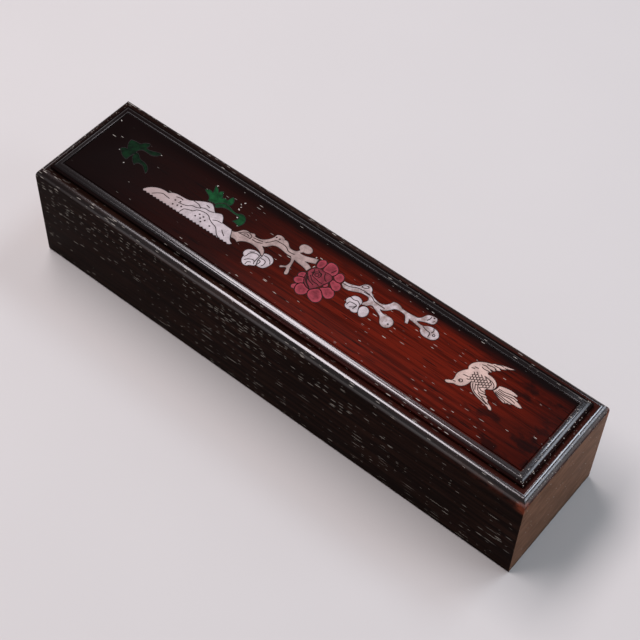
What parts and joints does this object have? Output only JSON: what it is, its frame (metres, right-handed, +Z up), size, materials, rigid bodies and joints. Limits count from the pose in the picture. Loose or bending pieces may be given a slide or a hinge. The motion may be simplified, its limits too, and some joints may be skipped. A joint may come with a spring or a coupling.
{
  "type": "ink stick and stone box",
  "caption": "Long hardwood box with a lift-off inlaid lid, mitred walls and a fitted tray that holds an inkstone and an ink stick.",
  "frame": {"origin": "middle of the underside of the box, which is the plane that it rests on", "axes": "+X runs along the box, +Z is up, and -Y is the long side under the foot of the inlaid picture"},
  "size_m": [0.21, 0.0474, 0.0459],
  "materials": {
    "dark_hardwood": "dark brown, oiled, with open pores",
    "red_hardwood": "red-brown with dark edges, polished",
    "plain_wood": "matt brown",
    "cream_soapstone": "cream, smooth, engraved",
    "green_soapstone": "green, smooth",
    "pink_soapstone": "pink, smooth, engraved",
    "inkstone_slate": "dark grey, honed",
    "ink_cake": "black, slightly glossy"
  },
  "bodies": {
    "box": {"front_wall": "dark_hardwood", "back_wall": "dark_hardwood", "left_end_wall": "dark_hardwood", "right_end_wall": "dark_hardwood", "mitre_splines": "plain_wood", "bottom_board": "dark_hardwood", "front_bearer": "plain_wood", "back_bearer": "plain_wood", "tray_board": "plain_wood"},
    "lid": {"lid_board": "red_hardwood", "inlay_rock": "cream_soapstone", "inlay_left_branch": "cream_soapstone", "inlay_left_fan": "cream_soapstone", "inlay_right_fan": "cream_soapstone", "inlay_right_branch": "cream_soapstone", "inlay_right_blossom": "cream_soapstone", "inlay_round_petal": "cream_soapstone", "inlay_bird_body": "cream_soapstone", "inlay_bird_tail": "cream_soapstone", "inlay_near_stem": "green_soapstone", "inlay_near_leaves": "green_soapstone", "inlay_far_stem": "green_soapstone", "inlay_far_leaves": "green_soapstone", "inlay_peony_heart": "pink_soapstone", "inlay_peony_petal_1": "pink_soapstone", "inlay_peony_petal_2": "pink_soapstone", "inlay_peony_petal_3": "pink_soapstone", "inlay_peony_petal_4": "pink_soapstone", "inlay_peony_petal_5": "pink_soapstone", "inlay_peony_petal_6": "pink_soapstone", "inlay_peony_petal_7": "pink_soapstone", "inlay_peony_petal_8": "pink_soapstone", "inlay_peony_petal_9": "pink_soapstone", "inlay_peony_petal_10": "pink_soapstone", "inlay_peony_petal_11": "pink_soapstone"},
    "inkstone": {"inkstone": "inkstone_slate"},
    "ink_stick": {"ink_stick": "ink_cake"}
  },
  "joints": [
    {"name": "lid_lift", "type": "slide", "parent": "box", "child": "lid", "axis": [0, 0, 1], "range_m": [0, 0.1]},
    {"name": "inkstone_lift", "type": "slide", "parent": "box", "child": "inkstone", "axis": [0, 0, 1], "range_m": [0, 0.05]},
    {"name": "ink_stick_lift", "type": "slide", "parent": "box", "child": "ink_stick", "axis": [0, 0, 1], "range_m": [0, 0.04]}
  ],
  "couplings": [
    {"joint": "inkstone_lift", "follows": "lid_lift", "ratio": 0.5},
    {"joint": "ink_stick_lift", "follows": "lid_lift", "ratio": 0.4}
  ]
}
